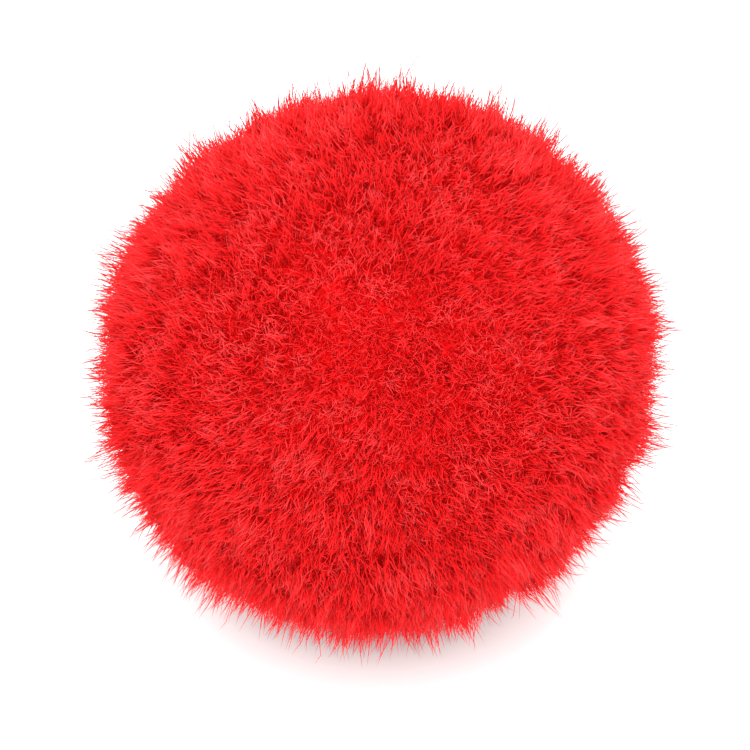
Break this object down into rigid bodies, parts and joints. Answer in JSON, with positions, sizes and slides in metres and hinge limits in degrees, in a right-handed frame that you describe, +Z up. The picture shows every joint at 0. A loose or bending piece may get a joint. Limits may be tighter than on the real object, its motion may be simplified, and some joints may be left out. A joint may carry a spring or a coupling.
{
  "type": "pom pom",
  "caption": "Round craft pom pom: a ball of dense, short, soft red fibre pile, resting on a small flat spot.",
  "frame": {"origin": "middle of the small flat spot that the ball rests on", "axes": "+Z up, away from the flat spot; +X and +Y have no preferred direction on a round ball"},
  "size_m": [0.0253, 0.0249, 0.0245],
  "materials": {
    "pile": "dull, soft acrylic pile with a faint sheen at its rim"
  },
  "bodies": {
    "root": {"pompom": "pile"}
  },
  "joints": []
}
